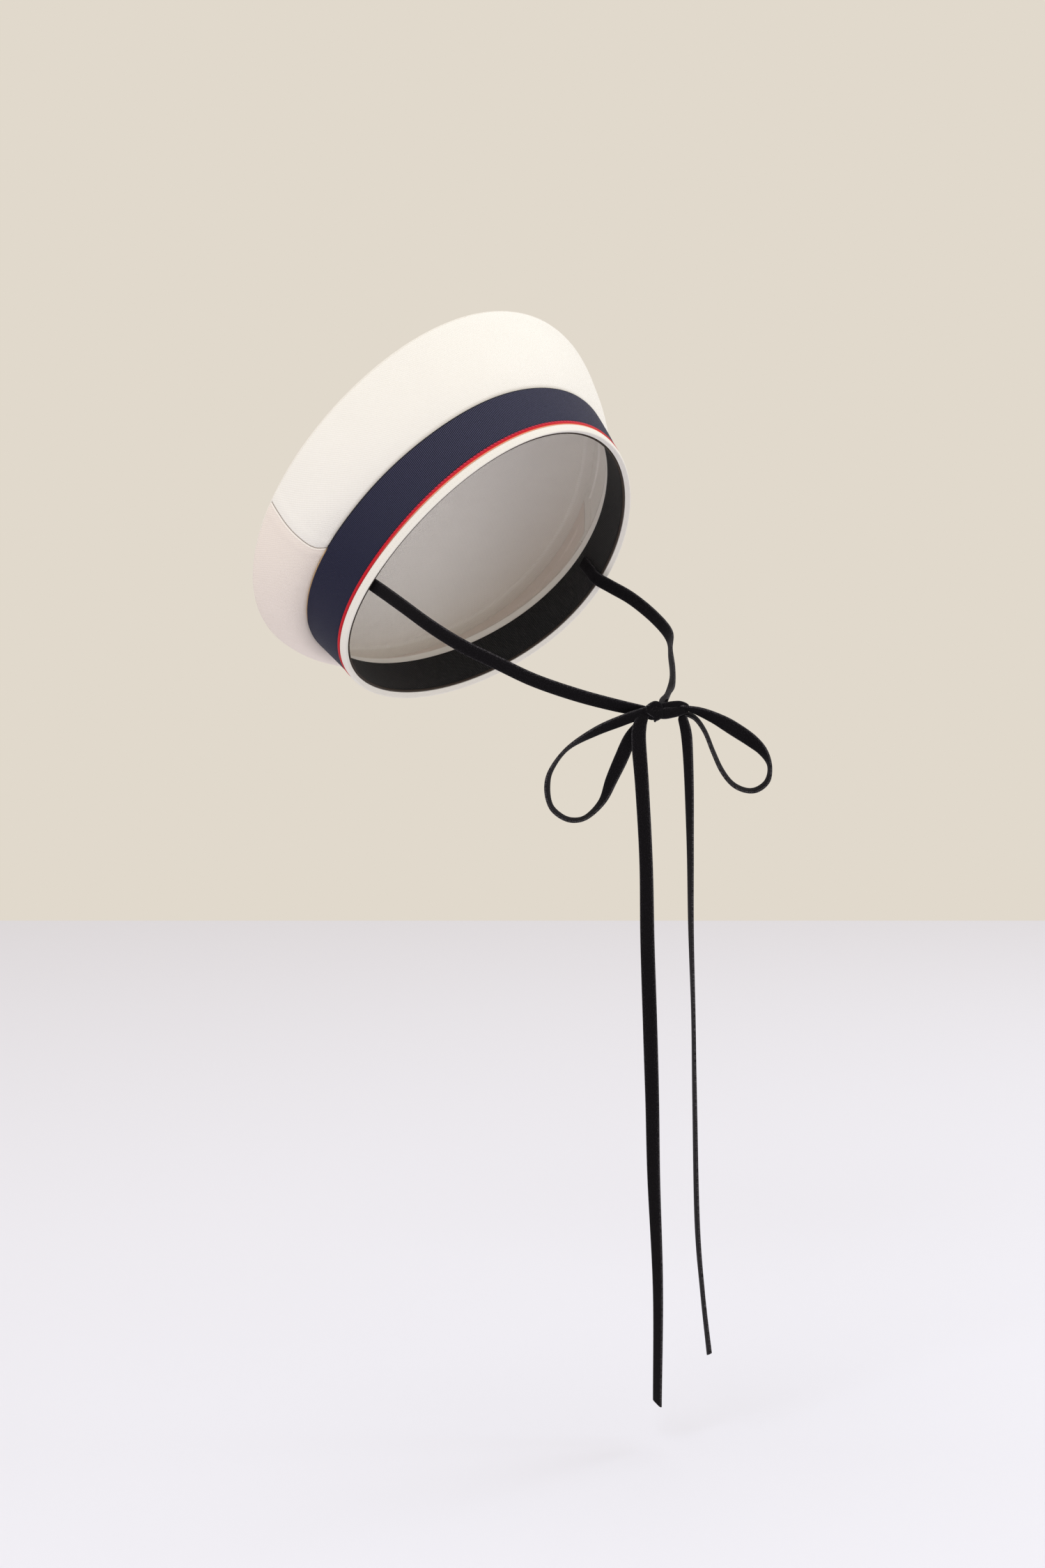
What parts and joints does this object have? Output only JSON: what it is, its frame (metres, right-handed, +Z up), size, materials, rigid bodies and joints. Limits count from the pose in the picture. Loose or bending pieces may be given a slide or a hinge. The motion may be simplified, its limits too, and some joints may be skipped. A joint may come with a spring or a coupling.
{
  "type": "sailor cap",
  "caption": "Cream sailor cap with a flared crown, a navy ribbon band edged in red and black velvet ties knotted in a bow.",
  "frame": {"origin": "middle of the opening that the head goes into, in the plane of the hem", "axes": "+Z is up as the cap is worn, the wearer faces -Y and the wearer's left is +X; the cap is tilted back 48.8 degrees about X"},
  "size_m": [0.2326, 0.2685, 0.576],
  "materials": {
    "cream_twill": "fine matt twill",
    "cream_hem": "matt, rolled edge with a row of stitches",
    "navy_grosgrain": "upright ribs with a soft sheen",
    "red_stripe": "ribbed, soft sheen",
    "black_petersham": "matt, fine ribs",
    "black_velvet": "short pile, grey sheen at the edges"
  },
  "bodies": {
    "root": {"crown_front": "cream_twill", "crown_back": "cream_twill", "crown_top": "cream_twill", "head_band": "cream_hem", "navy_ribbon": "navy_grosgrain", "red_edge": "red_stripe", "sweat_band": "black_petersham", "tie_right": "black_velvet", "tie_left": "black_velvet", "bow_knot": "black_velvet", "loop_right": "black_velvet", "loop_left": "black_velvet", "tail_right": "black_velvet", "tail_left": "black_velvet"}
  },
  "joints": []
}
